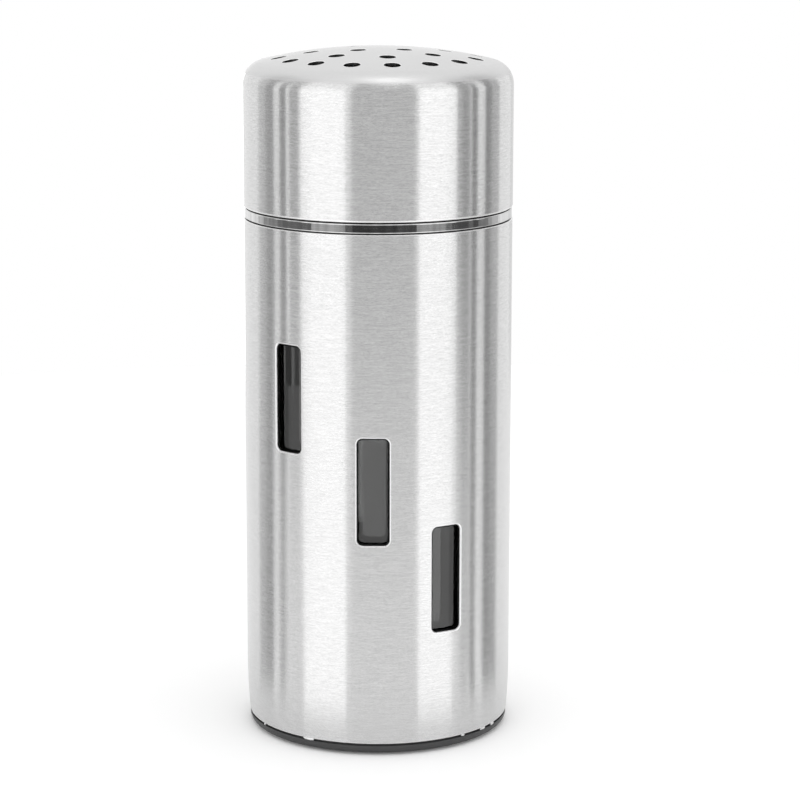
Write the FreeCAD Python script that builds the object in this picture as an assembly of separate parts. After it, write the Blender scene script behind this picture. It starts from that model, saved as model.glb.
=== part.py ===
import FreeCAD, Part
import math
import os

# A spice shaker: a glass jar in a windowed steel sleeve, under a screw cap with a perforated top.
# The axis is +Z, the floor is z = 0 and the middle window faces -Y. Lengths are in millimetres.

# Clearances between mating pieces
press_clearance = 0.05
seat_gap = 0.05
loose_clearance = 0.3
thread_clearance = 0.25
thread_flank_clearance = 0.2
cut_overrun = 1.0
same_point_distance = 0.000001

# Foot ring, an anti-slip ring let into the base's underside
foot_stand = 0.3
foot_height = 1.25
foot_width = 2.4
foot_inset = 2.3
foot_edge_round = 0.25

# Base plug: the inset is from the sleeve's lower edge, the land is between the foot ring and the recess
base_flange_inset = 0.08
base_flange_height = 1.55
base_flange_round = 1.2
base_floor = 3.6
base_skirt_wall = 1.5
base_recess_land = 2.3
base_recess_depth = 0.6
snap_bead_height = 1.2
snap_bead_rise_share = 0.65
base_seam = 0.35

# Steel sleeve, drawn in a little at its lower end
sleeve_radius = 25.0
sleeve_wall = 0.5
sleeve_length = 94.7
drawn_height = 10.3
drawn_inset = 0.42
sleeve_edge_round = 0.16

# Viewing windows: turns from the front in degrees, and their centres as shares of the sleeve's length
window_width = 5.9
window_height = 19.85
window_corner_round = 1.05
window_turns = (-41.1, -2.1, 30.2)
window_rise_shares = (0.674, 0.504, 0.325)

# Polished ring, and the collar that holds it, the jar and the sleeve together
ring_inset = 0.13
ring_wall = 0.5
ring_height = 1.75
ring_edge_round = 0.22
ring_seam = 0.2
collar_depth = 4.5
collar_foot_chamfer = 0.5
collar_top_drop = 0.15

# Soft pad under the jar
cushion_thickness = 1.5
cushion_inset = 1.5

# Glass jar, of thick glass close to the sleeve
jar_gap = 0.6
jar_wall = 4.0
jar_floor = 5.0
jar_corner_round = 3.0
jar_inner_round = 2.5
jar_shoulder_round = 1.6
neck_inset = 4.1
neck_wall = 2.2
neck_stand = 12.25
lip_round = 0.8

# Two-start thread of the jar's neck and the cap
thread_lead = 8.4
thread_starts = 2
thread_depth = 1.2
thread_crest_width = 1.0
thread_flank_degrees = 30.0
thread_root_overlap = 0.4
thread_first_degrees = 20.0
jar_thread_rise = 2.45
cap_thread_rise = 1.5

# Seal ring
seal_thickness = 1.2

# Cap insert, the moulded part with the thread
insert_wall = 1.6
insert_shelf = 1.6
insert_foot_height = 2.4
insert_foot_chamfer = 0.6
insert_rib_count = 12
insert_rib_width = 1.4

# Cap shell: the overhang is past the sleeve, the bends are the inner radii of its rim and shoulder
cap_overhang = 0.05
cap_wall = 0.5
cap_height = 29.25
cap_seam = 0.2
cap_shoulder_bend = 3.8
cap_dome_radius = 96.0
cap_rim_bend = 0.5
cap_rim_width = 1.9

# Rows of pour holes: radius as a share of the cap's, number of holes and the first hole's turn in degrees
hole_radius = 1.5
hole_row_radius_shares = (0.7345, 0.497, 0.2395)
hole_row_counts = (16, 8, 4)
hole_row_turns = (7.9, 7.9, -37.1)

# Radii that follow from the sizes above
sleeve_bore_radius = sleeve_radius - sleeve_wall
sleeve_mouth_radius = sleeve_bore_radius - drawn_inset
base_flange_radius = sleeve_radius - drawn_inset - base_flange_inset
base_skirt_radius = sleeve_mouth_radius - press_clearance
foot_outer_radius = base_flange_radius - foot_inset
foot_inner_radius = foot_outer_radius - foot_width
ring_radius = sleeve_radius - ring_inset
ring_bore_radius = ring_radius - ring_wall
jar_radius = sleeve_bore_radius - jar_gap
neck_radius = jar_radius - neck_inset
neck_bore_radius = neck_radius - neck_wall
thread_crest_radius = neck_radius + thread_depth
insert_bore_radius = thread_crest_radius + thread_clearance
insert_skirt_radius = insert_bore_radius + insert_wall
cap_radius = sleeve_radius + cap_overhang
cap_bore_radius = cap_radius - cap_wall
insert_radius = cap_bore_radius - press_clearance

# Heights that follow from the sizes above
base_flange_top_z = foot_stand + base_flange_height
base_floor_top_z = foot_stand + base_floor
sleeve_bottom_z = base_flange_top_z + base_seam
sleeve_top_z = sleeve_bottom_z + sleeve_length
ring_bottom_z = sleeve_top_z + ring_seam
ring_top_z = ring_bottom_z + ring_height
collar_top_z = ring_top_z - collar_top_drop
collar_bottom_z = collar_top_z - collar_depth
cap_bottom_z = ring_top_z + cap_seam
cap_top_z = cap_bottom_z + cap_height
cushion_bottom_z = base_floor_top_z + seat_gap
cushion_top_z = cushion_bottom_z + cushion_thickness
jar_bottom_z = cushion_top_z + seat_gap
shoulder_z = collar_bottom_z - seat_gap
lip_z = ring_top_z + neck_stand
seal_bottom_z = lip_z + seat_gap
seal_top_z = seal_bottom_z + seal_thickness
shelf_bottom_z = seal_top_z + seat_gap
insert_bottom_z = cap_bottom_z + cap_wall + seat_gap
thread_flank_rise = thread_depth * math.tan(math.radians(thread_flank_degrees))
thread_foot_width = thread_crest_width + 2 * thread_flank_rise
thread_end_z = lip_z - lip_round - thread_foot_width / 2
jar_thread_z = ring_top_z + jar_thread_rise
cap_thread_z = insert_bottom_z + cap_thread_rise


def tangent_points(points, roundings, index):
    """Where the rounding of one corner of a closed outline starts and ends, and its middle."""
    corner = points[index]
    before = (points[index - 1] - corner).normalize()
    after = (points[(index + 1) % len(points)] - corner).normalize()
    half_angle = before.getAngle(after) / 2
    rounding = roundings[index]
    reach = rounding / math.tan(half_angle)
    to_centre = (before + after).normalize()
    middle = corner + to_centre * (rounding / math.sin(half_angle) - rounding)
    return corner + before * reach, middle, corner + after * reach


def outline_wire(points, roundings):
    """A closed wire of straight runs joined by tangent arcs. Arcs that meet have no run between them."""
    corners = [tangent_points(points, roundings, index) for index in range(len(points))]
    edges = []
    for index, (start, middle, end) in enumerate(corners):
        if roundings[index]:
            edges.append(Part.Arc(start, middle, end).toShape())
        following_start = corners[(index + 1) % len(corners)][0]
        if not end.isEqual(following_start, same_point_distance):
            edges.append(Part.makeLine(end, following_start))
    return Part.Wire(edges)


def turned(corners):
    """A solid of revolution about Z from corners given as (radius, z, rounding)."""
    points = [FreeCAD.Vector(radius, 0, z) for radius, z, _ in corners]
    roundings = [rounding for _, _, rounding in corners]
    return revolved(outline_wire(points, roundings))


def revolved(wire):
    """The solid that a closed wire in the XZ plane sweeps about Z."""
    return Part.Face(wire).revolve(FreeCAD.Vector(0, 0, 0), FreeCAD.Vector(0, 0, 1), 360)


def ring(inner_radius, outer_radius, bottom_z, top_z, inner_round=0, outer_round=0):
    """A ring of rectangular section with its inner and outer corners rounded."""
    return turned([
        (inner_radius, bottom_z, inner_round),
        (outer_radius, bottom_z, outer_round),
        (outer_radius, top_z, outer_round),
        (inner_radius, top_z, inner_round),
    ])


def disc(radius, bottom_z, top_z):
    """A plain round disc or plug about Z."""
    return Part.makeCylinder(radius, top_z - bottom_z, FreeCAD.Vector(0, 0, bottom_z))


def turned_about_z(shape, degrees):
    """A copy of the shape turned about Z."""
    copy = shape.copy()
    copy.rotate(FreeCAD.Vector(0, 0, 0), FreeCAD.Vector(0, 0, 1), degrees)
    return copy


def at_front(radius, turn_degrees, z):
    """A point at a radius and height, turned from the front (-Y) towards +X."""
    turn = math.radians(turn_degrees)
    return FreeCAD.Vector(radius * math.sin(turn), -radius * math.cos(turn), z)


def foot_ring():
    """The anti-slip ring that the shaker stands on."""
    return ring(foot_inner_radius, foot_outer_radius, 0, foot_height, 0, foot_edge_round)


def base_plug():
    """The moulded base: a visible flange, and a skirt whose bead snaps in behind the sleeve's drawn-in edge."""
    skirt_inner_radius = base_skirt_radius - base_skirt_wall
    skirt_top_z = cushion_top_z
    bead_middle_z = base_flange_top_z + (skirt_top_z - base_flange_top_z) * snap_bead_rise_share
    bead_bottom_z = bead_middle_z - snap_bead_height / 2
    bead_top_z = bead_middle_z + snap_bead_height / 2
    bead_radius = drawn_radius(sleeve_bore_radius, bead_middle_z) - press_clearance
    body = turned([
        (0, foot_stand, 0),
        (base_flange_radius, foot_stand, base_flange_round),
        (base_flange_radius, base_flange_top_z, 0),
        (base_skirt_radius, base_flange_top_z, 0),
        (base_skirt_radius, bead_bottom_z, 0),
        (bead_radius, bead_middle_z, 0),
        (base_skirt_radius, bead_top_z, 0),
        (base_skirt_radius, skirt_top_z, 0),
        (skirt_inner_radius, skirt_top_z, 0),
        (skirt_inner_radius, base_floor_top_z, 0),
        (0, base_floor_top_z, 0),
    ])
    groove = ring(
        foot_inner_radius - press_clearance,
        foot_outer_radius + press_clearance,
        foot_stand - cut_overrun,
        foot_height + seat_gap,
    )
    recess_radius = foot_inner_radius - base_recess_land
    recess = disc(recess_radius, foot_stand - cut_overrun, foot_stand + base_recess_depth)
    return body.cut([groove, recess])


def jar_cushion():
    """The soft pad that the glass stands on."""
    return disc(jar_radius - cushion_inset, cushion_bottom_z, cushion_top_z)


def drawn_radius(radius, z):
    """The radius of the sleeve's drawn-in arc at one height, for a wall face whose straight part has this radius."""
    arc_radius = (drawn_height ** 2 + drawn_inset ** 2) / (2 * drawn_inset)
    below_straight = sleeve_bottom_z + drawn_height - z
    return radius - arc_radius + math.sqrt(arc_radius ** 2 - below_straight ** 2)


def drawn_arc(radius):
    """The sleeve wall's arc at one radius, from its drawn-in lower edge up to where the wall is straight."""
    heights = (sleeve_bottom_z, sleeve_bottom_z + drawn_height / 2, sleeve_bottom_z + drawn_height)
    return [FreeCAD.Vector(drawn_radius(radius, z), 0, z) for z in heights]


def window_cutter(turn_degrees, middle_z):
    """An upright window with rounded corners, cut from the axis outwards through the sleeve's front."""
    half_width = window_width / 2
    half_height = window_height / 2
    signs = ((-1, -1), (1, -1), (1, 1), (-1, 1))
    points = [FreeCAD.Vector(x * half_width, 0, middle_z + z * half_height) for x, z in signs]
    roundings = [window_corner_round] * len(points)
    reach = FreeCAD.Vector(0, -(sleeve_radius + cut_overrun), 0)
    prism = Part.Face(outline_wire(points, roundings)).extrude(reach)
    return turned_about_z(prism, turn_degrees)


def sleeve():
    """The brushed steel tube with its three windows."""
    outer_low, outer_middle, outer_high = drawn_arc(sleeve_radius)
    inner_low, inner_middle, inner_high = drawn_arc(sleeve_bore_radius)
    round_start = FreeCAD.Vector(sleeve_radius, 0, sleeve_top_z - sleeve_edge_round)
    round_end = FreeCAD.Vector(sleeve_radius - sleeve_edge_round, 0, sleeve_top_z)
    round_share = 1 - math.sqrt(0.5)
    round_middle = FreeCAD.Vector(
        sleeve_radius - sleeve_edge_round * round_share, 0, sleeve_top_z - sleeve_edge_round * round_share
    )
    inner_top = FreeCAD.Vector(sleeve_bore_radius, 0, sleeve_top_z)
    wire = Part.Wire([
        Part.Arc(outer_low, outer_middle, outer_high).toShape(),
        Part.makeLine(outer_high, round_start),
        Part.Arc(round_start, round_middle, round_end).toShape(),
        Part.makeLine(round_end, inner_top),
        Part.makeLine(inner_top, inner_high),
        Part.Arc(inner_high, inner_middle, inner_low).toShape(),
        Part.makeLine(inner_low, outer_low),
    ])
    windows = [
        window_cutter(turn_degrees, sleeve_bottom_z + sleeve_length * rise_share)
        for turn_degrees, rise_share in zip(window_turns, window_rise_shares)
    ]
    return revolved(wire).cut(windows)


def neck_ring():
    """The polished steel ring between the sleeve and the cap."""
    return ring(ring_bore_radius, ring_radius, ring_bottom_z, ring_top_z, 0, ring_edge_round)


def neck_collar():
    """The moulded collar: it fills the sleeve's top, carries the ring and holds the jar's shoulder down."""
    fit_radius = sleeve_bore_radius - press_clearance
    seat_radius = ring_bore_radius - press_clearance
    collar_bore_radius = thread_crest_radius + thread_clearance
    return turned([
        (collar_bore_radius, collar_bottom_z, 0),
        (fit_radius - collar_foot_chamfer, collar_bottom_z, 0),
        (fit_radius, collar_bottom_z + collar_foot_chamfer, 0),
        (fit_radius, sleeve_top_z, 0),
        (seat_radius, sleeve_top_z + seat_gap, 0),
        (seat_radius, collar_top_z, 0),
        (collar_bore_radius, collar_top_z, 0),
    ])


def thread_ridge(root_radius, depth, start_z, start_degrees):
    """One start of a right-hand thread up to thread_end_z. A negative depth points inwards, as in a nut."""
    direction = math.copysign(1, depth)
    buried_radius = root_radius - direction * thread_root_overlap
    crest_radius = root_radius + depth
    buried_rise = (abs(depth) + thread_root_overlap) * math.tan(math.radians(thread_flank_degrees))
    half_crest = thread_crest_width / 2
    half_foot = half_crest + buried_rise
    corners = [
        FreeCAD.Vector(buried_radius, 0, start_z - half_foot),
        FreeCAD.Vector(crest_radius, 0, start_z - half_crest),
        FreeCAD.Vector(crest_radius, 0, start_z + half_crest),
        FreeCAD.Vector(buried_radius, 0, start_z + half_foot),
    ]
    section = Part.makePolygon(corners + corners[:1])
    helix = Part.makeHelix(thread_lead, thread_end_z - start_z, root_radius)
    helix.translate(FreeCAD.Vector(0, 0, start_z))
    ridge = Part.Wire(helix).makePipeShell([section], True, True)
    return turned_about_z(ridge, start_degrees)


def run_out(degrees, z):
    """A cutter whose inner face touches the jar's neck where a ridge ends, so that the ridge fades out."""
    corner = FreeCAD.Vector(neck_radius, -thread_crest_radius, z - thread_lead / 2)
    flat = Part.makeBox(thread_depth + cut_overrun, 2 * thread_crest_radius, thread_lead, corner)
    return turned_about_z(flat, degrees)


def start_angles(first_degrees):
    """The angle of each start of a thread, spread evenly round the axis."""
    return [first_degrees + 360 / thread_starts * index for index in range(thread_starts)]


def jar_thread():
    """The jar's ridges, which fade out at both ends."""
    swept_degrees = 360 * (thread_end_z - jar_thread_z) / thread_lead
    ridges = []
    for degrees in start_angles(thread_first_degrees):
        low_end = run_out(degrees, jar_thread_z)
        high_end = run_out(degrees + swept_degrees, thread_end_z)
        ridge = thread_ridge(neck_radius, thread_depth, jar_thread_z, degrees)
        ridges.append(ridge.cut([low_end, high_end]))
    return ridges


def cap_thread():
    """The insert's ridges, which lie just under the jar's ridges when the cap is closed."""
    engaged_depth = thread_depth - thread_clearance
    engaged_width = thread_crest_width + engaged_depth * math.tan(math.radians(thread_flank_degrees))
    drop = engaged_width + thread_flank_clearance
    climb_past_jar_thread = cap_thread_z - (jar_thread_z - drop)
    first_degrees = thread_first_degrees + 360 * climb_past_jar_thread / thread_lead
    return [
        thread_ridge(insert_bore_radius, -thread_depth, cap_thread_z, degrees)
        for degrees in start_angles(first_degrees)
    ]


def glass_jar():
    """The clear jar: round body, quarter-round shoulder and a threaded neck."""
    inner_radius = jar_radius - jar_wall
    inner_shoulder_z = shoulder_z - jar_wall
    glass = turned([
        (0, jar_bottom_z, 0),
        (jar_radius, jar_bottom_z, jar_corner_round),
        (jar_radius, shoulder_z, jar_shoulder_round),
        (neck_radius, shoulder_z, 0),
        (neck_radius, lip_z, lip_round),
        (neck_bore_radius, lip_z, 0),
        (neck_bore_radius, inner_shoulder_z, 0),
        (inner_radius, inner_shoulder_z, inner_radius - neck_bore_radius),
        (inner_radius, jar_bottom_z + jar_floor, jar_inner_round),
        (0, jar_bottom_z + jar_floor, 0),
    ])
    return glass.fuse(jar_thread())


def seal_ring():
    """The soft ring between the jar's lip and the insert's shelf."""
    return ring(neck_bore_radius, insert_bore_radius - loose_clearance, seal_bottom_z, seal_top_z)


def cap_insert():
    """The moulded part of the cap: skirt with thread, shelf for the seal, foot, and ribs to the shell."""
    shelf_top_z = shelf_bottom_z + insert_shelf
    foot_top_z = insert_bottom_z + insert_foot_height
    body = turned([
        (insert_bore_radius, insert_bottom_z, 0),
        (insert_radius - insert_foot_chamfer, insert_bottom_z, 0),
        (insert_radius, insert_bottom_z + insert_foot_chamfer, 0),
        (insert_radius, foot_top_z, 0),
        (insert_skirt_radius, foot_top_z, 0),
        (insert_skirt_radius, shelf_bottom_z, 0),
        (insert_radius, shelf_bottom_z, 0),
        (insert_radius, shelf_top_z, 0),
        (neck_bore_radius, shelf_top_z, 0),
        (neck_bore_radius, shelf_bottom_z, 0),
        (insert_bore_radius, shelf_bottom_z, 0),
    ])
    rib_span = ring(
        insert_skirt_radius - press_clearance, insert_radius, foot_top_z - seat_gap, shelf_bottom_z + seat_gap
    )
    rib_block = Part.makeBox(
        insert_radius + cut_overrun,
        insert_rib_width,
        shelf_top_z - insert_bottom_z,
        FreeCAD.Vector(0, -insert_rib_width / 2, insert_bottom_z),
    )
    ribs = [
        turned_about_z(rib_block, 360 / insert_rib_count * index).common(rib_span)
        for index in range(insert_rib_count)
    ]
    return body.fuse(ribs + cap_thread())


def domed_plug(radius, shoulder_round, dome_radius, top_z, bottom_z, rim_round):
    """A solid with a domed top, round shoulder, straight side and round lower rim."""
    dome_centre_z = top_z - dome_radius
    shoulder_centre_r = radius - shoulder_round
    shoulder_centre_rise = math.sqrt((dome_radius - shoulder_round) ** 2 - shoulder_centre_r ** 2)
    shoulder_centre_z = dome_centre_z + shoulder_centre_rise
    dome_half_angle = math.atan2(shoulder_centre_r, shoulder_centre_rise)

    def on_dome(angle):
        return FreeCAD.Vector(
            dome_radius * math.sin(angle), 0, dome_centre_z + dome_radius * math.cos(angle)
        )

    def on_shoulder(angle):
        return FreeCAD.Vector(
            shoulder_centre_r + shoulder_round * math.sin(angle), 0,
            shoulder_centre_z + shoulder_round * math.cos(angle),
        )

    quarter = math.pi / 2
    side_top = FreeCAD.Vector(radius, 0, shoulder_centre_z)
    side_low = FreeCAD.Vector(radius, 0, bottom_z + rim_round)
    rim_bend = rim_round * (1 - math.sqrt(0.5))
    rim_middle = FreeCAD.Vector(radius - rim_bend, 0, bottom_z + rim_bend)
    rim_end = FreeCAD.Vector(radius - rim_round, 0, bottom_z)
    axis_low = FreeCAD.Vector(0, 0, bottom_z)
    axis_top = FreeCAD.Vector(0, 0, top_z)
    shoulder_middle = on_shoulder((dome_half_angle + quarter) / 2)
    wire = Part.Wire([
        Part.Arc(axis_top, on_dome(dome_half_angle / 2), on_dome(dome_half_angle)).toShape(),
        Part.Arc(on_dome(dome_half_angle), shoulder_middle, side_top).toShape(),
        Part.makeLine(side_top, side_low),
        Part.Arc(side_low, rim_middle, rim_end).toShape(),
        Part.makeLine(rim_end, axis_low),
        Part.makeLine(axis_low, axis_top),
    ])
    return revolved(wire)


def pour_hole_cutters():
    """Upright round cutters through the cap's top, row by row."""
    low_z = cap_top_z - cap_height / 2
    length = cap_height / 2 + cut_overrun
    up = FreeCAD.Vector(0, 0, 1)
    cutters = []
    for radius_share, count, first_turn in zip(hole_row_radius_shares, hole_row_counts, hole_row_turns):
        for index in range(count):
            turn_degrees = first_turn + 360 / count * index
            foot = at_front(cap_radius * radius_share, turn_degrees, low_z)
            cutters.append(Part.makeCylinder(hole_radius, length, foot, up))
    return cutters


def cap_shell():
    """The drawn steel cap with its pour holes and its rim rolled in under the insert."""
    outside = domed_plug(
        cap_radius,
        cap_shoulder_bend + cap_wall,
        cap_dome_radius,
        cap_top_z,
        cap_bottom_z,
        cap_rim_bend + cap_wall,
    )
    inside = domed_plug(
        cap_bore_radius,
        cap_shoulder_bend,
        cap_dome_radius - cap_wall,
        cap_top_z - cap_wall,
        cap_bottom_z + cap_wall,
        cap_rim_bend,
    )
    mouth_radius = cap_radius - cap_rim_width
    mouth = disc(mouth_radius, cap_bottom_z - cut_overrun, cap_bottom_z + cap_wall + cut_overrun)
    return outside.cut([inside, mouth] + pour_hole_cutters())


nodes = {
    "foot_ring": foot_ring,
    "base_plug": base_plug,
    "jar_cushion": jar_cushion,
    "sleeve": sleeve,
    "neck_ring": neck_ring,
    "neck_collar": neck_collar,
    "glass_jar": glass_jar,
    "seal_ring": seal_ring,
    "cap_insert": cap_insert,
    "cap_shell": cap_shell,
}

os.makedirs("parts", exist_ok=True)
for name, make in nodes.items():
    make().exportStep(os.path.join("parts", name + ".step"))
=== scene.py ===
import math
import random

import bpy
from mathutils import Matrix, Vector
from mathutils.geometry import delaunay_2d_cdt


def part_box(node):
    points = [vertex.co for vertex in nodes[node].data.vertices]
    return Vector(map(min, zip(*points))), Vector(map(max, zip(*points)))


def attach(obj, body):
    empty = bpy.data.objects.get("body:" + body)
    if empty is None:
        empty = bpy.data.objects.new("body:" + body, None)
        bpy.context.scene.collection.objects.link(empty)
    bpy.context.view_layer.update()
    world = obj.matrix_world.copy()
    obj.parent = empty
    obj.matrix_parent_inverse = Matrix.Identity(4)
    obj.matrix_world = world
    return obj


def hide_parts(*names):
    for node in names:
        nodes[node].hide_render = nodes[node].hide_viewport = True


# Looks of the spice shaker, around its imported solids. Metres, +Z up, the middle window faces -Y.
# A turn is measured from the front, -Y, towards the camera's right.
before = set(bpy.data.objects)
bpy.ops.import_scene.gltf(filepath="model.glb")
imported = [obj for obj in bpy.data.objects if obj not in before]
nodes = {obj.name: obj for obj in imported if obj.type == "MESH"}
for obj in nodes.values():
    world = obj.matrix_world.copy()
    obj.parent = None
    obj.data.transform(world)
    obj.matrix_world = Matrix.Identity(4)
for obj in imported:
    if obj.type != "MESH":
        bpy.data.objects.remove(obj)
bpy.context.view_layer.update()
MM = 0.001
SEGMENTS = 288  # round the shaker
SAME_PLACE = 1e-7  # corners nearer than this share a vertex


# ---- Mesh building

class Shape:
    """Faces with a normal at each corner. Corners at the same place share a vertex."""

    def __init__(self):
        self.points = []
        self.index = {}
        self.faces = []
        self.normals = []
        self.finish = []

    def vertex(self, point):
        key = tuple(round(c / SAME_PLACE) for c in point)
        if key not in self.index:
            self.index[key] = len(self.points)
            self.points.append(tuple(point))
        return self.index[key]

    def face(self, corners, finish=0):
        """corners are (point, normal), anticlockwise seen from outside. Corners that coincide count once."""
        kept = {}
        for point, normal in corners:
            kept.setdefault(self.vertex(point), normal)
        if len(kept) > 2:
            self.faces.append(list(kept))
            self.normals.extend(kept.values())
            self.finish.append(finish)

    def piece(self, name, materials, body, replaces=()):
        """Makes the object. A face's finish is the place of its material in materials."""
        mesh = bpy.data.meshes.new(name)
        mesh.from_pydata(self.points, [], self.faces)
        for material in materials:
            mesh.materials.append(material)
        mesh.polygons.foreach_set("material_index", self.finish)
        mesh.shade_smooth()
        mesh.normals_split_custom_set([Vector(n).normalized() for n in self.normals])
        obj = bpy.data.objects.new(name, mesh)
        bpy.context.scene.collection.objects.link(obj)
        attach(obj, body)
        if replaces:
            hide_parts(*replaces)


def at(radius, turn):
    """The (x, y) at this radius and turn in radians."""
    return radius * math.sin(turn), -radius * math.cos(turn)


def arc(centre_r, centre_z, radius, start, end, steps, side=1):
    """Profile points (r, z, normal r, normal z) on an arc; angles in degrees from +r towards +z."""
    found = []
    for i in range(steps + 1):
        a = math.radians(start + (end - start) * i / steps)
        c, s = math.cos(a), math.sin(a)
        found.append((centre_r + radius * c, centre_z + radius * s, side * c, side * s))
    return found


def run(start, end, steps=1):
    """Profile points on a straight run from start to end, with the normal to the right of its direction."""
    dr, dz = end[0] - start[0], end[1] - start[1]
    length = math.hypot(dr, dz)
    return [
        (start[0] + dr * i / steps, start[1] + dz * i / steps, dz / length, -dr / length)
        for i in range(steps + 1)
    ]


def outline(corners, steps=8):
    """A closed profile, anticlockwise in (r, z), from corners (r, z, rounding): its runs and tangent arcs."""
    count = len(corners)
    joints = []
    for i, (r, z, rounding) in enumerate(corners):
        here = Vector((r, z))
        before = (Vector(corners[i - 1][:2]) - here).normalized()
        after = (Vector(corners[(i + 1) % count][:2]) - here).normalized()
        half = before.angle(after) / 2
        reach = rounding / math.tan(half) if rounding else 0
        centre = here + (before + after).normalized() * (rounding / math.sin(half))
        joints.append((here + before * reach, here + after * reach, centre, rounding))
    parts = []
    for i, (start, end, centre, rounding) in enumerate(joints):
        if rounding:
            a0 = math.degrees(math.atan2(start.y - centre.y, start.x - centre.x))
            a1 = math.degrees(math.atan2(end.y - centre.y, end.x - centre.x))
            turn = (a1 - a0 + 180) % 360 - 180
            parts.append(arc(centre.x, centre.y, rounding, a0, a0 + turn, steps, 1 if turn > 0 else -1))
        following = joints[(i + 1) % count][0]
        if (following - end).length > SAME_PLACE:
            parts.append(run(tuple(end), tuple(following)))
    return parts


def on_lathe(point, turn):
    """The place and normal of a profile point at this turn about Z."""
    r, z, nr, nz = point
    return (*at(r, turn), z), (*at(nr, turn), nz)


def lathe(shape, parts, finish=0):
    """Turns profile parts about Z."""
    step = math.tau / SEGMENTS
    for part in parts:
        for low, high in zip(part, part[1:]):
            for i in range(SEGMENTS):
                a, b = i * step, (i + 1) * step
                shape.face(
                    [on_lathe(low, a), on_lathe(low, b), on_lathe(high, b), on_lathe(high, a)], finish
                )


FILL_TOLERANCE = 1e-6  # in the flat points' millimetres
NEARLY = 0.999  # share of a hole's radius within which a triangle's middle counts as in the hole


def fill(shape, points, loops, keep, place, side, finish):
    """Faces over flat points, with loops (lists of point indices) as fixed edges.

    keep says by its middle whether a triangle stays, place gives a point's corner in space, and side is
    1 for a face seen from outside and -1 for one seen from inside.
    """
    edges = [(loop[i - 1], loop[i]) for loop in loops for i in range(len(loop))]
    flat = [Vector(p) for p in points]
    _, _, triangles, sources, _, _ = delaunay_2d_cdt(flat, edges, [], 0, FILL_TOLERANCE)
    for triangle in triangles:
        ids = [sources[v][0] for v in triangle]
        if not keep(*(sum(points[i][k] for i in ids) / len(ids) for k in (0, 1))):
            continue
        (ax, ay), (bx, by), (cx, cy) = (points[i] for i in ids[:3])
        anticlockwise = (bx - ax) * (cy - ay) - (by - ay) * (cx - ax) > 0
        shape.face([place(i) for i in (ids if anticlockwise == (side > 0) else ids[::-1])], finish)


# ---- Materials

def material(name, **values):
    """A Principled material with constants on the shader's own sockets."""
    made = bpy.data.materials.new(name)
    made.use_nodes = True
    shader = made.node_tree.nodes["Principled BSDF"]
    for socket, value in values.items():
        shader.inputs[socket.replace("_", " ")].default_value = value
    return made, made.node_tree, shader


def node(tree, kind, inputs=None, **settings):
    made = tree.nodes.new(kind)
    for key, value in settings.items():
        setattr(made, key, value)
    for key, value in (inputs or {}).items():
        if isinstance(value, bpy.types.NodeSocket):
            tree.links.new(value, made.inputs[key])
        else:
            made.inputs[key].default_value = value
    return made


def grain(tree, across, up=None, detail=2.0, roughness=0.5):
    """Noise between 0 and 1 in object space, with this many cells to the metre across and up."""
    place = node(tree, "ShaderNodeTexCoord").outputs["Object"]
    cells = (across, across, up or across)
    mapped = node(tree, "ShaderNodeMapping", {"Vector": place, "Scale": cells}).outputs["Vector"]
    return node(
        tree, "ShaderNodeTexNoise", {"Vector": mapped, "Scale": 1.0, "Detail": detail, "Roughness": roughness}
    ).outputs["Fac"]


def between(tree, value, low, high, from_low=0.3, from_high=0.7):
    """value, mapped from from_low..from_high to low..high and clamped."""
    return node(
        tree, "ShaderNodeMapRange",
        {"Value": value, "From Min": from_low, "From Max": from_high, "To Min": low, "To Max": high},
    ).outputs["Result"]


def added(tree, a, b, share):
    """a plus share times b."""
    return node(tree, "ShaderNodeMath", {0: b, 1: share, 2: a}, operation="MULTIPLY_ADD").outputs[0]


def painted(tree, shader, tone, dark, light, rough=None):
    """The base colour, from dark to light by tone, and the roughness where it varies."""
    mix = node(tree, "ShaderNodeMix", data_type="RGBA")
    tree.links.new(tone, mix.inputs["Factor"])
    mix.inputs["A"].default_value = (*dark, 1)
    mix.inputs["B"].default_value = (*light, 1)
    tree.links.new(mix.outputs["Result"], shader.inputs["Base Color"])
    if rough:
        tree.links.new(rough, shader.inputs["Roughness"])


def bumped(tree, shader, height, strength, distance):
    bump = node(tree, "ShaderNodeBump", {"Height": height, "Strength": strength, "Distance": distance})
    tree.links.new(bump.outputs["Normal"], shader.inputs["Normal"])


def grey(level):
    return level, level, level


def brushed_steel(name):
    """Steel brushed round the axis, which blurs what it reflects upwards and downwards."""
    made, tree, shader = material(name, Metallic=1.0, Anisotropic=1.0, Anisotropic_Rotation=0.25)
    tangent = node(tree, "ShaderNodeTangent", direction_type="RADIAL", axis="Z").outputs["Tangent"]
    tree.links.new(tangent, shader.inputs["Tangent"])
    streaks = grain(tree, 420, 4200, roughness=0.6)
    fine = grain(tree, 1900, 6000, detail=1.0)
    cloud = grain(tree, 60, 45)
    mixed = added(tree, streaks, fine, 1.0)
    tone = between(tree, mixed, 0.0, 1.0, 0.7, 1.3)
    rough = added(tree, between(tree, mixed, 0.19, 0.22, 0.7, 1.3), cloud, 0.03)
    painted(tree, shader, tone, grey(0.605), grey(0.735), rough)
    bumped(tree, shader, streaks, 0.9, 0.01 * MM)
    return made


def satin_steel(name):
    """Blasted steel, as on the dome."""
    made, tree, shader = material(name, Metallic=1.0)
    fine = grain(tree, 5200)
    cloud = grain(tree, 90, detail=3.0)
    painted(tree, shader, fine, grey(0.66), grey(0.73), between(tree, cloud, 0.34, 0.4))
    bumped(tree, shader, fine, 0.5, 0.01 * MM)
    return made


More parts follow.
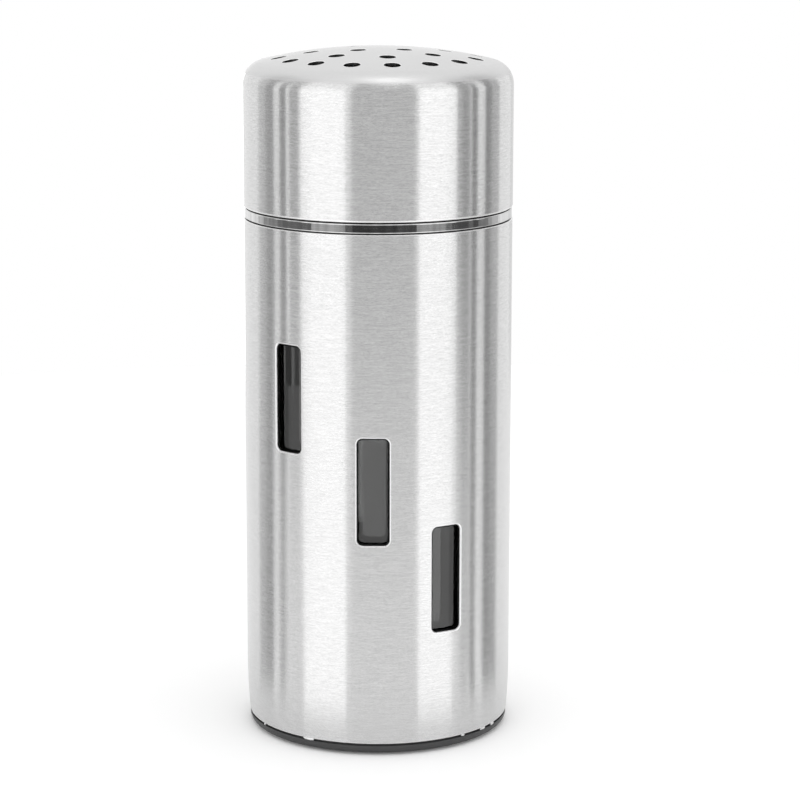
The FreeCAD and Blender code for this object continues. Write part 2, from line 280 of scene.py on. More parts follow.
def rolled_steel(name):
    """Sheet steel as rolled, inside the sleeve."""
    made, tree, shader = material(name, Metallic=1.0)
    fine = grain(tree, 2500)
    cloud = grain(tree, 55, 30, detail=3.0)
    painted(tree, shader, cloud, grey(0.48), grey(0.58), between(tree, cloud, 0.55, 0.65))
    bumped(tree, shader, fine, 0.2, 0.01 * MM)
    return made


def polished_steel(name):
    """A mirror with fine turning lines and smudges."""
    made, tree, shader = material(name, Metallic=1.0)
    lines = grain(tree, 70, 5000, detail=3.0)
    smudge = grain(tree, 120, 240, detail=4.0)
    marks = between(tree, grain(tree, 900, 90, detail=3.0), 0.0, 1.0)
    tone = between(tree, added(tree, marks, lines, 1.0), 0.0, 1.0, 0.4, 1.4)
    painted(tree, shader, tone, grey(0.52), grey(0.74), between(tree, smudge, 0.03, 0.07))
    bumped(tree, shader, lines, 0.3, 0.01 * MM)
    return made


def marked_steel(name, across, up, dark, light, relief):
    """Bare steel with the marks of its cutting, between the given dark and light: lightened it carries a
    painted highlight on cut edges, near black it carries painted shade in holes and windows.
    """
    made, tree, shader = material(name, Metallic=1.0)
    marks = grain(tree, across, up, detail=3.0)
    painted(tree, shader, marks, grey(dark), grey(light), between(tree, marks, 0.25, 0.4))
    bumped(tree, shader, marks, 0.4, relief)
    return made


def plastic(name, dark, light, rough_low, rough_high, texture=2500):
    """Moulded plastic or rubber, with texture cells of its skin to the metre."""
    made, tree, shader = material(name)
    fine = grain(tree, texture)
    cloud = grain(tree, 160, detail=4.0)
    painted(tree, shader, cloud, dark, light, between(tree, cloud, rough_low, rough_high))
    bumped(tree, shader, fine, 0.3, 0.03 * MM)
    return made


def foam(name):
    """Closed cells."""
    made, tree, shader = material(name, Roughness=0.95)
    place = node(tree, "ShaderNodeTexCoord").outputs["Object"]
    cells = node(tree, "ShaderNodeTexVoronoi", {"Vector": place, "Scale": 1800.0}).outputs["Distance"]
    painted(tree, shader, cells, grey(0.02), (0.075, 0.075, 0.078))
    bumped(tree, shader, cells, 0.7, 0.2 * MM)
    return made


def clear_glass(name):
    """Pressed glass, a little wavy."""
    made, tree, shader = material(name, Transmission_Weight=1.0, IOR=1.66)
    wave = grain(tree, 90, 35, detail=1.0)
    specks = grain(tree, 1500)
    painted(
        tree, shader, between(tree, wave, 0, 1), (0.93, 0.94, 0.935), (0.97, 0.975, 0.97),
        between(tree, specks, 0.0, 0.01, 0.5, 0.8),
    )
    bumped(tree, shader, wave, 0.1, 0.2 * MM)
    return made


def silicone(name):
    """Translucent and satin."""
    made, tree, shader = material(name, Subsurface_Weight=0.4, Subsurface_Scale=0.001)
    cloud = grain(tree, 300, detail=4.0)
    painted(
        tree, shader, cloud, (0.66, 0.66, 0.645), (0.76, 0.76, 0.745), between(tree, cloud, 0.38, 0.52)
    )
    bumped(tree, shader, cloud, 0.15, 0.05 * MM)
    return made


brushed = brushed_steel("brushed_steel")
satin = satin_steel("satin_steel")
polished = polished_steel("polished_steel")
rolled = rolled_steel("rolled_steel")
# Cut steel, lighter than the brushed steel: partly the real bright cut edges, partly a painted highlight
# along them
cut_edge_highlight = marked_steel("cut_steel_highlight", 3000, 1500, 0.76, 0.94, 0.03 * MM)
# Steel painted near black for the pour holes' and windows' cut walls: painted shade in these recesses
painted_shade_steel = marked_steel("hole_steel_painted_shade", 2500, 2500, 0.03, 0.08, 0.02 * MM)

# ---- Sleeve: straight tube with three windows, drawn in below

sleeve_low, sleeve_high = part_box("sleeve")
SLEEVE_BOTTOM, SLEEVE_TOP = sleeve_low.z, sleeve_high.z
SLEEVE_R, SLEEVE_WALL, SLEEVE_LENGTH = 25.0 * MM, 0.5 * MM, 94.7 * MM
SLEEVE_BORE = SLEEVE_R - SLEEVE_WALL
DRAWN_HEIGHT, DRAWN_INSET = 10.3 * MM, 0.42 * MM
DRAWN_R = SLEEVE_R - DRAWN_INSET  # at the lower end
STRAIGHT_BOTTOM = SLEEVE_BOTTOM + DRAWN_HEIGHT
TOP_EDGE, LOW_EDGE = 0.16 * MM, 0.28 * MM  # roundings of the two ends
TOP_EDGE_STEPS, LOW_EDGE_STEPS, DRAWN_STEPS = 6, 5, 12
ABOVE_STEPS, BELOW_STEPS = 6, 3  # of the straight wall above and below the windows' panel

# The part of the wall with the windows, in rows of faces, and the segments left beside each window
PANEL_LOW, PANEL_HIGH, PANEL_ROWS, PANEL_MARGIN = 18 * MM, 82 * MM, 32, 4
WINDOW_HALF_W, WINDOW_HALF_H, WINDOW_ROUND = 2.95 * MM, 9.925 * MM, 1.05 * MM
WINDOW_CLEARANCE = 0.35 * MM  # from the panel's own points
WINDOWS = [
    # turn, height of the middle
    (math.radians(turn), SLEEVE_BOTTOM + SLEEVE_LENGTH * share)
    for turn, share in ((-41.1, 0.674), (-2.1, 0.504), (30.2, 0.325))
]
WINDOW_LIP = 0.32 * MM  # rounding of the outer edge
WINDOW_BREAK, BREAK_HEIGHT = 0.24 * MM, 0.04 * MM  # how far the cut wall narrows, and its last straight part
WALL_SLOPE = 0.2  # outward share in the cut wall's normals
CORNER_STEPS, SHORT_SIDE_STEPS, LONG_SIDE_STEPS = 8, 6, 12
LIP_STEPS = 4  # of a window's or a pour hole's rounded edge


def drawn(radius, side):
    """The drawn-in lower end of one face of the sleeve's wall, from the edge up."""
    arc_r = (DRAWN_HEIGHT ** 2 + DRAWN_INSET ** 2) / (2 * DRAWN_INSET)
    sweep = math.degrees(math.asin(DRAWN_HEIGHT / arc_r))
    return arc(radius - arc_r, STRAIGHT_BOTTOM, arc_r, -sweep, 0, DRAWN_STEPS, side)


def window_outline(offset):
    """The window's outline, this much larger all round: points (x, z, normal x, normal z), anticlockwise."""
    reach_x, reach_z = WINDOW_HALF_W - WINDOW_ROUND, WINDOW_HALF_H - WINDOW_ROUND
    corners = [(reach_x, reach_z), (-reach_x, reach_z), (-reach_x, -reach_z), (reach_x, -reach_z)]
    found = []
    for k, (x, z) in enumerate(corners):
        found.extend(arc(x, z, WINDOW_ROUND + offset, 90 * k, 90 * k + 90, CORNER_STEPS))
        # the straight side up to the next corner
        side_x, side_z, nx, nz = found[-1]
        next_x, next_z = corners[(k + 1) % 4]
        steps = LONG_SIDE_STEPS if k % 2 else SHORT_SIDE_STEPS
        for i in range(1, steps):
            found.append((side_x + (next_x - x) * i / steps, side_z + (next_z - z) * i / steps, nx, nz))
    return found


def on_window(window, x, z, radius, normal):
    """A point and normal of a window's edge at this radius. normal is given as (across, up, outwards)."""
    turn, middle = window
    s, c = math.sin(turn), math.cos(turn)
    depth = math.sqrt(radius ** 2 - x ** 2)
    point = (x * c + depth * s, x * s - depth * c, middle + z)
    nx, nz, out = normal
    rs, rc = point[0] / radius, point[1] / radius
    return point, (nx * c + out * rs, nx * s + out * rc, nz)


def window_panel(shape, radius, side, offset, finish):
    """The straight wall face between PANEL_LOW and PANEL_HIGH, with the windows left out."""
    step = math.tau / SEGMENTS
    rows = [PANEL_LOW + (PANEL_HIGH - PANEL_LOW) * i / PANEL_ROWS for i in range(PANEL_ROWS + 1)]
    half_span = math.asin(WINDOW_HALF_W / radius) + PANEL_MARGIN * step
    spans = [
        (math.floor((turn - half_span) / step), math.ceil((turn + half_span) / step)) for turn, _ in WINDOWS
    ]
    for low, high in zip(rows, rows[1:]):
        for i in range(SEGMENTS):
            signed = i if i < SEGMENTS // 2 else i - SEGMENTS
            if any(first <= signed < last for first, last in spans):
                continue
            corners = [
                on_lathe((radius, z, side, 0), t * step)
                for t, z in ((i, low), (i + 1, low), (i + 1, high), (i, high))
            ]
            shape.face(corners if side > 0 else corners[::-1], finish)
    for window, (first, last) in zip(WINDOWS, spans):
        turn, middle = window
        points, places = [], []

        def put(s, z, place):
            points.append((s / MM, z / MM))
            places.append(place)
            return len(points) - 1

        loop = [
            put(radius * math.asin(x / radius), z + middle, on_window(window, x, z, radius, (0, 0, side)))
            for x, z, _, _ in window_outline(offset)
        ]
        for t in range(first, last + 1):
            s = radius * (t * step - turn)
            beside = abs(s) >= WINDOW_HALF_W + WINDOW_CLEARANCE
            for z in rows:
                if beside or abs(z - middle) >= WINDOW_HALF_H + WINDOW_CLEARANCE:
                    put(s, z, on_lathe((radius, z, side, 0), (t % SEGMENTS) * step))

        def outside(s, z):
            ds = abs(s) - (WINDOW_HALF_W - WINDOW_ROUND) / MM
            dz = abs(z - middle / MM) - (WINDOW_HALF_H - WINDOW_ROUND) / MM
            limit = (WINDOW_ROUND + offset) / MM * NEARLY
            return (math.hypot(ds, dz) if ds > 0 and dz > 0 else max(ds, dz)) > limit

        fill(shape, points, [loop], outside, places.__getitem__, side, finish)


def window_edges(shape, window, lip_finish, wall_shade_finish):
    """The rounded outer lip, lightened as a painted highlight, and the cut wall of one window, which narrows
    inwards and is painted dark as shade.
    """
    levels = []  # offset of the outline, radius, inward and outward share of the normal
    for i in range(LIP_STEPS + 1):
        a = math.pi / 2 * i / LIP_STEPS
        s, c = math.sin(a), math.cos(a)
        levels.append((WINDOW_LIP * (1 - s), SLEEVE_R - WINDOW_LIP * (1 - c), s, c))
    levels += [
        (0, SLEEVE_R - WINDOW_LIP, 1, WALL_SLOPE),
        (-WINDOW_BREAK, SLEEVE_BORE + BREAK_HEIGHT, 1, WALL_SLOPE),
        (-WINDOW_BREAK, SLEEVE_BORE, 1, WALL_SLOPE),
    ]
    rings = [
        [on_window(window, x, z, radius, (-nx * s, -nz * s, c)) for x, z, nx, nz in window_outline(offset)]
        for offset, radius, s, c in levels
    ]
    for k, (outer, inner) in enumerate(zip(rings, rings[1:])):
        for i in range(len(outer)):
            corners = [outer[i - 1], outer[i], inner[i], inner[i - 1]]
            shape.face(corners, lip_finish if k < LIP_STEPS else wall_shade_finish)


def make_sleeve():
    # The cut faces take the lightened cut steel, partly a painted highlight; the windows' cut walls take
    # steel painted near black as shade.
    outside, cut, inside, window_wall_shade = range(4)
    shape = Shape()
    low_edge, top_edge = SLEEVE_BOTTOM + LOW_EDGE, SLEEVE_TOP - TOP_EDGE
    outer_low = [(DRAWN_R, low_edge, 1, 0)] + [
        point for point in drawn(SLEEVE_R, 1) if point[1] > SLEEVE_BOTTOM + 2 * LOW_EDGE
    ]
    lathe(shape, [arc(DRAWN_R - LOW_EDGE, low_edge, LOW_EDGE, -90, 0, LOW_EDGE_STEPS)], cut)
    lathe(shape, [outer_low, run((SLEEVE_R, STRAIGHT_BOTTOM), (SLEEVE_R, PANEL_LOW), BELOW_STEPS)], outside)
    lathe(shape, [run((SLEEVE_R, PANEL_HIGH), (SLEEVE_R, top_edge), ABOVE_STEPS)], outside)
    lathe(shape, [
        arc(SLEEVE_R - TOP_EDGE, top_edge, TOP_EDGE, 0, 90, TOP_EDGE_STEPS),
        run((SLEEVE_R - TOP_EDGE, SLEEVE_TOP), (SLEEVE_BORE, SLEEVE_TOP)),
    ], cut)
    lathe(shape, [run((SLEEVE_BORE, SLEEVE_TOP), (SLEEVE_BORE, PANEL_HIGH), ABOVE_STEPS)], inside)
    lathe(shape, [
        run((SLEEVE_BORE, PANEL_LOW), (SLEEVE_BORE, STRAIGHT_BOTTOM), BELOW_STEPS),
        drawn(SLEEVE_BORE, -1)[::-1],
    ], inside)
    lathe(shape, [
        run((SLEEVE_BORE - DRAWN_INSET, SLEEVE_BOTTOM), (DRAWN_R - LOW_EDGE, SLEEVE_BOTTOM)),
    ], cut)
    window_panel(shape, SLEEVE_R, 1, WINDOW_LIP, outside)
    window_panel(shape, SLEEVE_BORE, -1, -WINDOW_BREAK, inside)
    for window in WINDOWS:
        window_edges(shape, window, cut, window_wall_shade)
    shape.piece("sleeve_wall", [brushed, cut_edge_highlight, rolled, painted_shade_steel], "body", ["sleeve"])


# ---- Cap: domed shell with pour holes and a folded rim

cap_low, cap_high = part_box("cap_shell")
CAP_BOTTOM, CAP_TOP = cap_low.z, cap_high.z
CAP_R, CAP_WALL = 25.04 * MM, 0.5 * MM
CAP_BORE = CAP_R - CAP_WALL
CAP_BEND, DOME_R = 3.8 * MM, 96.0 * MM  # inner radius of the shoulder's bend, outer radius of the dome
SHOULDER_STEPS, BRUSHED_STEPS = 16, 6  # steps of the bend, and how many of them the brushing reaches up
RIM_BEND, RIM_EDGE, RIM_WIDTH = 0.5 * MM, 0.4 * MM, 1.9 * MM
SIDE_STEPS, INNER_BEND_STEPS, RIM_BEND_STEPS, RIM_EDGE_STEPS = 10, 12, 6, 8
DOME_RINGS, DOME_RING_POINTS = 18, 144  # rings of points over the dome, and points on the outermost
HOLE_R, HOLE_LIP, HOLE_SEGMENTS, HOLE_CLEARANCE = 1.5 * MM, 0.16 * MM, 32, 0.25 * MM
BRIGHT_LIP_STEPS = 3  # steps of a hole's lip in lightened cut steel, a painted highlight; the last is in the wall's painted shade
HOLES = [
    at(CAP_R * share, math.radians(first + 360 / count * i))
    for share, count, first in ((0.7345, 16, 7.9), (0.497, 8, 7.9), (0.2395, 4, -37.1))
    for i in range(count)
]
HOLE_RING = [
    (math.cos(math.tau * i / HOLE_SEGMENTS), math.sin(math.tau * i / HOLE_SEGMENTS))
    for i in range(HOLE_SEGMENTS)
]


def dome_shape(radius, bend, dome_r, top):
    """The dome's centre height, and the shoulder arc's centre and its end in degrees from +r."""
    centre_z = top - dome_r
    shoulder_r = radius - bend
    rise = math.sqrt((dome_r - bend) ** 2 - shoulder_r ** 2)
    return centre_z, shoulder_r, centre_z + rise, 90 - math.degrees(math.atan2(shoulder_r, rise))


def dome_face(shape, dome_r, centre_z, edge_r, hole_r, side, finish):
    """The perforated dome inside edge_r, as one face of the shell."""
    points = []

    def put(x, y):
        points.append((x / MM, y / MM))
        return len(points) - 1

    loops = [[put(hx + hole_r * ux, hy + hole_r * uy) for ux, uy in HOLE_RING] for hx, hy in HOLES]
    edge = [put(*at(edge_r, math.tau * i / SEGMENTS)) for i in range(SEGMENTS)]
    for k in range(DOME_RINGS):
        r = edge_r * k / DOME_RINGS
        count = max(1, round(DOME_RING_POINTS * k / DOME_RINGS))
        for i in range(count):
            x, y = r * math.sin(math.tau * i / count), r * math.cos(math.tau * i / count)
            if all(math.hypot(x - hx, y - hy) > hole_r + HOLE_CLEARANCE for hx, hy in HOLES):
                put(x, y)

    def place(i):
        if edge[0] <= i <= edge[-1]:
            rise = math.sqrt(dome_r ** 2 - edge_r ** 2)
            profile = (edge_r, centre_z + rise, side * edge_r / dome_r, side * rise / dome_r)
            return on_lathe(profile, math.tau * (i - edge[0]) / SEGMENTS)
        x, y = points[i][0] * MM, points[i][1] * MM
        rise = math.sqrt(dome_r ** 2 - x * x - y * y)
        return (x, y, centre_z + rise), (side * x / dome_r, side * y / dome_r, side * rise / dome_r)

    def keep(x, y):
        return all(math.hypot(x - hx / MM, y - hy / MM) > hole_r / MM * NEARLY for hx, hy in HOLES)

    fill(shape, points, loops, keep, place, side, finish)


def hole_edges(shape, centre_z, inner_r, inner_centre_z, lip_finish, wall_shade_finish):
    """The rounded outer lip of each pour hole, mostly lightened as a painted highlight, and its wall, painted
    dark as shade.
    """
    for hx, hy in HOLES:
        rings = []
        for k in range(LIP_STEPS + 1):
            a = math.pi / 2 * k / LIP_STEPS
            s, c = math.sin(a), math.cos(a)
            r = HOLE_R + HOLE_LIP * (1 - s)
            ring = []
            for ux, uy in HOLE_RING:
                x, y = hx + r * ux, hy + r * uy
                rise = math.sqrt(DOME_R ** 2 - x * x - y * y)
                normal = (c * x / DOME_R - s * ux, c * y / DOME_R - s * uy, c * rise / DOME_R)
                ring.append(((x, y, centre_z + rise - HOLE_LIP * (1 - c)), normal))
            rings.append(ring)
        ring = []
        for ux, uy in HOLE_RING:
            x, y = hx + HOLE_R * ux, hy + HOLE_R * uy
            rise = math.sqrt(inner_r ** 2 - x * x - y * y)
            ring.append(((x, y, inner_centre_z + rise), (-ux, -uy, 0)))
        rings.append(ring)
        for k, (outer, inner) in enumerate(zip(rings, rings[1:])):
            for i in range(HOLE_SEGMENTS):
                corners = [outer[i], inner[i], inner[i - 1], outer[i - 1]]
                shape.face(corners, lip_finish if k < BRIGHT_LIP_STEPS else wall_shade_finish)


def make_cap():
    # The rim edge and hole lips are cut steel lightened as a painted highlight; the hole walls are steel
    # painted near black as shade.
    brushed_side, dome, inside, rim_edge, hole_wall_shade = range(5)
    shape = Shape()
    bend, inner_r = CAP_BEND + CAP_WALL, DOME_R - CAP_WALL
    centre_z, shoulder_r, shoulder_z, shoulder_end = dome_shape(CAP_R, bend, DOME_R, CAP_TOP)
    inner_z, in_shoulder_r, in_shoulder_z, in_end = dome_shape(
        CAP_BORE, CAP_BEND, inner_r, CAP_TOP - CAP_WALL
    )
    shoulder = arc(shoulder_r, shoulder_z, bend, 0, shoulder_end, SHOULDER_STEPS)
    lathe(shape, [run((CAP_R, CAP_BOTTOM + RIM_EDGE), (CAP_R, shoulder_z), SIDE_STEPS)], brushed_side)
    lathe(shape, [shoulder[:BRUSHED_STEPS + 1]], brushed_side)
    lathe(shape, [shoulder[BRUSHED_STEPS:]], dome)
    lathe(shape, [
        arc(CAP_R - RIM_EDGE, CAP_BOTTOM + RIM_EDGE, RIM_EDGE, -90, 0, RIM_EDGE_STEPS),
    ], rim_edge)
    mouth = CAP_R - RIM_WIDTH
    fold_top, fold_r = CAP_BOTTOM + CAP_WALL, CAP_BORE - RIM_BEND
    fold_end = CAP_BOTTOM + (RIM_BEND + CAP_WALL)
    lathe(shape, [
        run((mouth, CAP_BOTTOM), (CAP_R - RIM_EDGE, CAP_BOTTOM)),
        run((mouth, fold_top), (mouth, CAP_BOTTOM)),
        run((fold_r, fold_top), (mouth, fold_top)),
        arc(fold_r, fold_end, RIM_BEND, -90, 0, RIM_BEND_STEPS, -1)[::-1],
        run((CAP_BORE, in_shoulder_z), (CAP_BORE, fold_end), SIDE_STEPS),
        arc(in_shoulder_r, in_shoulder_z, CAP_BEND, 0, in_end, INNER_BEND_STEPS, -1)[::-1],
    ], inside)
    inner_edge = in_shoulder_r + CAP_BEND * math.cos(math.radians(in_end))
    dome_face(shape, DOME_R, centre_z, shoulder[-1][0], HOLE_R + HOLE_LIP, 1, dome)
    dome_face(shape, inner_r, inner_z, inner_edge, HOLE_R, -1, inside)
    hole_edges(shape, centre_z, inner_r, inner_z, rim_edge, hole_wall_shade)
    shape.piece("cap_dome", [brushed, satin, satin, cut_edge_highlight, painted_shade_steel], "cap", ["cap_shell"])


# ---- Polished ring

RING_R, RING_BORE, RING_EDGE = 24.87 * MM, 24.37 * MM, 0.22 * MM


def make_ring():
    low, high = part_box("neck_ring")
    shape = Shape()
    lathe(shape, outline([
        (RING_BORE, low.z, 0), (RING_R, low.z, RING_EDGE),
        (RING_R, high.z, RING_EDGE), (RING_BORE, high.z, 0),
    ]))
    shape.piece("shine_ring", [polished], "body", ["neck_ring"])


# ---- Burrs that the cutting left on the sleeve's lower edge

BURRS = [(-60.7, -59.5), (-34.2, -29.0), (39.0, 40.8), (51.0, 54.6), (59.5, 62.2)]  # turns, in degrees
BURR_SEED, BURR_STEP, BURR_END = 7, 0.5, 0.65  # degrees between sections; share left at the ends
BURR_R, BURR_TOP, BURR_LOW = DRAWN_R + 0.04 * MM, SLEEVE_BOTTOM + 0.12 * MM, SLEEVE_BOTTOM + 0.02 * MM
BURR_DROP, BURR_MORE_DROP, BURR_MORE_OUT = 0.24, 0.12, 0.06  # mm; the last two are the most that chance adds
BURR_SECTION = [
    # mm inwards, mm above the top or the bottom, whether from the top, normal (r, z)
    (0.1, 0, True, 0.3, 1), (0, -0.06, True, 1, 0.5), (0, 0.08, False, 1, -0.3),
    (0.1, 0, False, 0.3, -1), (0.3, 0.05, False, -1, -0.3), (0.3, -0.05, True, -1, 0.5),
]


def make_burrs():
    shape = Shape()
    dice = random.Random(BURR_SEED)
    for start, end in BURRS:
        steps = max(3, round((end - start) / BURR_STEP))
        columns = []
        for i in range(steps + 1):
            t = math.radians(start + (end - start) * i / steps)
            fade = BURR_END if i in (0, steps) else 1
            low = BURR_LOW - (BURR_DROP + BURR_MORE_DROP * dice.random()) * fade * MM
            out = BURR_R + BURR_MORE_OUT * dice.random() * fade * MM
            columns.append([
                on_lathe((out - inwards * MM, (BURR_TOP if from_top else low) + rise * MM, nr, nz), t)
                for inwards, rise, from_top, nr, nz in BURR_SECTION
            ])
        for left, right in zip(columns, columns[1:]):
            for k in range(len(BURR_SECTION)):
                following = (k + 1) % len(BURR_SECTION)
                shape.face([left[k], left[following], right[following], right[k]])
        for column, side, turn in ((columns[0], -1, start), (columns[-1], 1, end)):
            t = math.radians(turn)
            normal = (side * math.cos(t), side * math.sin(t), 0)
            cap = [(point, normal) for point, _ in column]
            shape.face(cap[::-1] if side < 0 else cap)
    shape.piece("edge_burrs", [cut_edge_highlight], "body")


make_sleeve()
make_burrs()
make_cap()
make_ring()

# The pieces that keep their solids' meshes
DRESSED = {
    "glass_jar": clear_glass("clear_glass"),
    "base_plug": plastic("base_plastic", (0.040, 0.040, 0.041), (0.052, 0.052, 0.053), 0.38, 0.5),
    "foot_ring": plastic("foot_rubber", grey(0.022), grey(0.034), 0.7, 0.85, 1400),
    "neck_collar": plastic("collar_plastic", (0.030, 0.030, 0.031), (0.038, 0.038, 0.039), 0.42, 0.55),
    "cap_insert": plastic("cap_plastic", (0.030, 0.030, 0.031), (0.040, 0.040, 0.041), 0.42, 0.55),
    "seal_ring": silicone("seal_silicone"),
    "jar_cushion": foam("cushion_foam"),
}
for name, finish in DRESSED.items():
    mesh = nodes[name].data
    mesh.materials.clear()
    mesh.materials.append(finish)

# ---- Studio

scene = bpy.context.scene
scene.view_settings.view_transform = "Standard"
CAMERA_PLACE = (0, -0.51916, 0.1682)
DRUM_R, FLOOR_R = 0.45, 0.36
EDGE_R, EDGE_LOW, EDGE_HIGH = 0.44, 0.022, 0.052
POOL_HEIGHT = 0.0006
BAND_STEP = 2  # degrees
MIRROR_ROUNDS = 8  # rounds in which the reflecting place settles


def studio_object(name, mesh):
    obj = bpy.data.objects.new(name, mesh)
    scene.collection.objects.link(obj)
    return obj


def reflected_only(name, verts, faces, level):
    """An evenly glowing card that only reflections see."""
    glow = bpy.data.materials.new(name)
    glow.use_nodes = True
    tree = glow.node_tree
    tree.nodes.clear()
    light = node(tree, "ShaderNodeEmission", {"Strength": level}).outputs["Emission"]
    node(tree, "ShaderNodeOutputMaterial", {"Surface": light})
    mesh = bpy.data.meshes.new(name)
    mesh.from_pydata(verts, [], faces)
    mesh.materials.append(glow)
    obj = studio_object(name, mesh)
    obj.visible_camera = obj.visible_diffuse = obj.visible_shadow = obj.visible_transmission = False


def band(name, start, end, level, crossing):
    """A card round the shaker from start to end, in degrees; crossing gives its two corners at a turn."""
    steps = max(2, round((end - start) / BAND_STEP))
    verts = []
    for i in range(steps + 1):
        verts.extend(crossing(math.radians(start + (end - start) * i / steps)))
    faces = [(2 * i, 2 * i + 1, 2 * i + 3, 2 * i + 2) for i in range(steps)]
    reflected_only(name, verts, faces, level)


def upright(radius, low, high):
    """The crossings of an upright card."""
    return lambda turn: [(*at(radius, turn), low), (*at(radius, turn), high)]


def under(near, far):
    """The crossings of the floor that the steel shows below a card, between two radii."""
    def crossing(turn):
        card = Vector(at(DRUM_R, turn))
        spot = turn / 2
        for _ in range(MIRROR_ROUNDS):
            # the place on the steel where the camera sees the card
            place = SLEEVE_R * Vector(at(1, spot))
            away, back = card - place, Vector(CAMERA_PLACE[:2]) - place
            spot = (math.atan2(away.x, -away.y) + math.atan2(back.x, -back.y)) / 2
        way = away.normalized()
        corners = []
        for radius in (near, far):
            reach = -place.dot(way) + math.sqrt(place.dot(way) ** 2 - place.length_squared + radius ** 2)
            corners.append((*(place + way * reach), POOL_HEIGHT))
        return corners
    return crossing


CARDS = [
    # name, from, to, bottom, top, level
    ("front_dark", -22, 31, -0.1, 0.9, 0.66),
    ("softbox_left", -67, -27, -0.1, 0.24, 1.62),
    ("softbox_left_rim", -27, -22, -0.1, 0.24, 1.1),
    ("softbox_right", 34, 68, -0.1, 0.24, 1.6),
    ("softbox_right_rim", 31, 34, -0.1, 0.24, 1.0),
    ("flag_left_1", -78.6, -69, -0.1, 0.6, 0.55),
    ("strip_left_1", -82.1, -78.6, -0.1, 0.6, 1.3),
    ("flag_left_2", -89.4, -82.1, -0.1, 0.6, 0.37),
    ("strip_left_2", -96.5, -89.4, -0.1, 0.6, 1.15),
    ("flag_left_3", -107.5, -96.5, -0.1, 0.6, 0.48),
    ("flag_left_4", -118.4, -107.5, -0.1, 0.6, 0.7),
    ("flag_right_1", 68.5, 74, -0.1, 0.6, 0.62),
    ("flag_right_2", 74, 81.5, -0.1, 0.6, 0.42),
    ("flag_right_3", 84.5, 90.5, -0.1, 0.6, 0.25),
    ("strip_right", 92, 100.5, -0.1, 0.6, 1.15),
    ("flag_right_4", 100.5, 109, -0.1, 0.6, 0.34),
    ("flag_right_5", 109, 122, -0.1, 0.6, 0.58),
    ("softbox_left_top", -67, -27, 0.24, 0.6, 1.15),
    ("softbox_right_top", 34, 68, 0.24, 0.6, 1.15),
    ("back_left", -172, -156, -0.1, 0.18, 0.8),
    ("back_middle", 176, 200, -0.1, 0.18, 1.5),
    ("back_right", 150, 168, -0.1, 0.18, 0.8),
]
for name, start, end, bottom, top, level in CARDS:
    band(name, start, end, level, upright(DRUM_R, bottom, top))

# A small soft light above the front, which the cap's shoulder shows
OVERHEAD_PLACE, OVERHEAD_AIM = (0.076, -0.252, 0.72), (0, 0, 0.12)
OVERHEAD_R, OVERHEAD_SIDES, OVERHEAD_LEVEL = 0.14, 24, 2.15
overhead_turn = (Vector(OVERHEAD_PLACE) - Vector(OVERHEAD_AIM)).to_track_quat("Z", "Y")
overhead_rim = []
for i in range(OVERHEAD_SIDES):
    a = math.tau * i / OVERHEAD_SIDES
    corner = Vector((OVERHEAD_R * math.sin(a), OVERHEAD_R * math.cos(a), 0))
    overhead_rim.append(tuple(Vector(OVERHEAD_PLACE) + overhead_turn @ corner))
reflected_only("overhead_card", overhead_rim, [tuple(range(OVERHEAD_SIDES))], OVERHEAD_LEVEL)

# The dark edge of the table beyond the floor, which the polished ring shows
EDGES = [
    # name, from, to, level
    ("edge_left_6", -122, -112, 0.62),
    ("edge_left_5", -112, -105, 0.38),
    ("edge_left_4", -105, -93, 0.27),
    ("edge_left_3", -93, -87, 0.21),
    ("edge_left_2", -87, -57, 0.15),
    ("edge_left_1", -57, -32, 0.5),
    ("edge_left_rim", -32, -27, 0.38),
    ("edge_front_left", -27, -21, 0.12),
    ("edge_front", -21, 15, 0.05),
    ("edge_front_right", 15, 32, 0.075),
    ("edge_right_1", 32, 58, 0.39),
    ("edge_right_rim", 58, 64, 0.22),
    ("edge_right_2", 64, 81, 0.09),
    ("edge_right_3", 81, 87, 0.15),
    ("edge_right_4", 87, 93, 0.09),
    ("edge_right_5", 93, 106, 0.25),
    ("edge_right_6", 106, 112, 0.46),
]
for name, start, end, level in EDGES:
    band(name, start, end, level, upright(EDGE_R, EDGE_LOW, EDGE_HIGH))

# The cards' light and shade on the floor, which only the steel shows
POOLS = [
    # name, from, to, near edge, level
    ("pool_front", -22, 31, 0.05, 1.01),
    ("pool_left_4", -123, -112, 0.05, 0.6),
    ("pool_left_3", -112, -101, 0.05, 0.48),
    ("pool_left_strip", -101, -93.5, 0.05, 1.1),
    ("pool_left_2", -93.5, -86, 0.05, 0.62),
    ("pool_left_1", -82.5, -72, 0.05, 1.05),
    ("pool_left", -66, -27, 0.042, 1.46),
    ("pool_right", 34, 66, 0.042, 1.44),
    ("pool_right_1", 68.5, 74, 0.05, 1.05),
    ("pool_right_2", 74, 81.5, 0.05, 0.82),
    ("pool_right_3", 84.5, 90.5, 0.05, 0.38),
    ("pool_right_strip", 92, 100.5, 0.05, 1.1),
    ("pool_right_4", 100.5, 109, 0.05, 0.42),
    ("pool_right_5", 109, 122, 0.05, 0.48),
]
for name, start, end, near, level in POOLS:
    band(name, start, end, level, under(near, FLOOR_R))

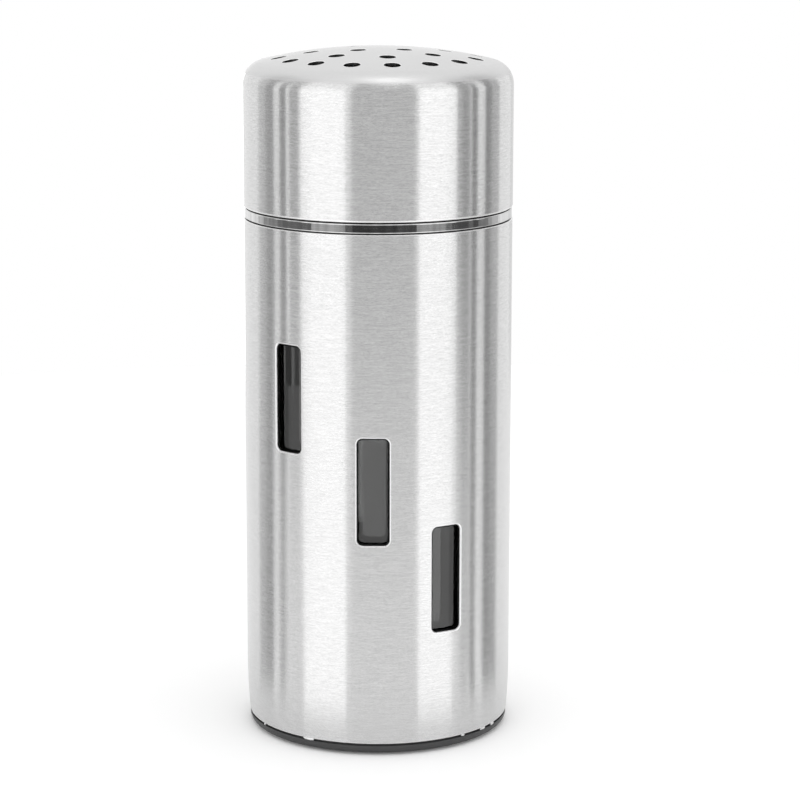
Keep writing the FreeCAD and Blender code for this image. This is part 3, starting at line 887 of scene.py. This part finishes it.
# Floor, which looks a little lighter than it lights the shaker
FLOOR_SIDES, FLOOR_LIFT = 120, 0.1
verts = [(0, 0, 0)]
for i in range(FLOOR_SIDES):
    a = math.tau * i / FLOOR_SIDES
    verts.append((FLOOR_R * math.sin(a), FLOOR_R * math.cos(a), 0))
mesh = bpy.data.meshes.new("floor")
mesh.from_pydata(verts, [], [(0, i + 1, (i + 1) % FLOOR_SIDES + 1) for i in range(FLOOR_SIDES)])
floor_paint, tree, shader = material(
    "floor_paint", Base_Color=(0.92, 0.92, 0.92, 1), Roughness=1.0, Specular_IOR_Level=0.0,
    Emission_Color=(1, 1, 1, 1),
)
seen = node(tree, "ShaderNodeLightPath").outputs["Is Camera Ray"]
lift = node(tree, "ShaderNodeMath", {0: seen, 1: FLOOR_LIFT}, operation="MULTIPLY").outputs[0]
tree.links.new(lift, shader.inputs["Emission Strength"])
mesh.materials.append(floor_paint)
studio_object("floor", mesh)

# World: white where it is seen directly, in metal or through glass, and a little dimmer as a light
WORLD_SEEN, WORLD_LIGHT = 1.0, 0.95
world = bpy.data.worlds.new("studio")
scene.world = world
world.use_nodes = True
tree = world.node_tree
tree.nodes.clear()
path = node(tree, "ShaderNodeLightPath")
seen = path.outputs["Is Camera Ray"]
for ray in ("Is Glossy Ray", "Is Transmission Ray"):
    seen = node(tree, "ShaderNodeMath", {0: seen, 1: path.outputs[ray]}, operation="MAXIMUM").outputs[0]
light = node(tree, "ShaderNodeBackground", {"Color": (1, 1, 1, 1), "Strength": WORLD_LIGHT}).outputs[0]
white = node(tree, "ShaderNodeBackground", {"Color": (1, 1, 1, 1), "Strength": WORLD_SEEN}).outputs[0]
mix = node(tree, "ShaderNodeMixShader", {0: seen, 1: light, 2: white}).outputs[0]
node(tree, "ShaderNodeOutputWorld", {"Surface": mix})

LAMP_PLACE, LAMP_AIM = (0.05, -0.1, 0.75), (0, 0, 0.06)
lamp = bpy.data.lights.new("overhead", "AREA")
lamp.shape = "DISK"
lamp.size = 0.5
lamp.energy = 1.0
lamp_object = bpy.data.objects.new("overhead", lamp)
lamp_object.location = LAMP_PLACE
lamp_object.rotation_euler = (Vector(LAMP_PLACE) - Vector(LAMP_AIM)).to_track_quat("Z", "Y").to_euler()
lamp_object.visible_glossy = False
scene.collection.objects.link(lamp_object)

# ---- Camera, as the photograph's

CAMERA_YAW, CAMERA_PITCH, CAMERA_ROLL = math.radians(0.456), 0.20180, 0.00153  # right, down, level
camera = bpy.data.cameras.new("camera")
camera.sensor_width = 36.0
camera.lens = 126.44
camera.clip_start = 0.01
camera_object = bpy.data.objects.new("camera", camera)
camera_object.matrix_world = (
    Matrix.Translation(CAMERA_PLACE)
    @ Matrix.Rotation(-CAMERA_YAW, 4, "Z")
    @ Matrix.Rotation(math.pi / 2 - CAMERA_PITCH, 4, "X")
    @ Matrix.Rotation(CAMERA_ROLL, 4, "Z")
)
scene.collection.objects.link(camera_object)
scene.camera = camera_object
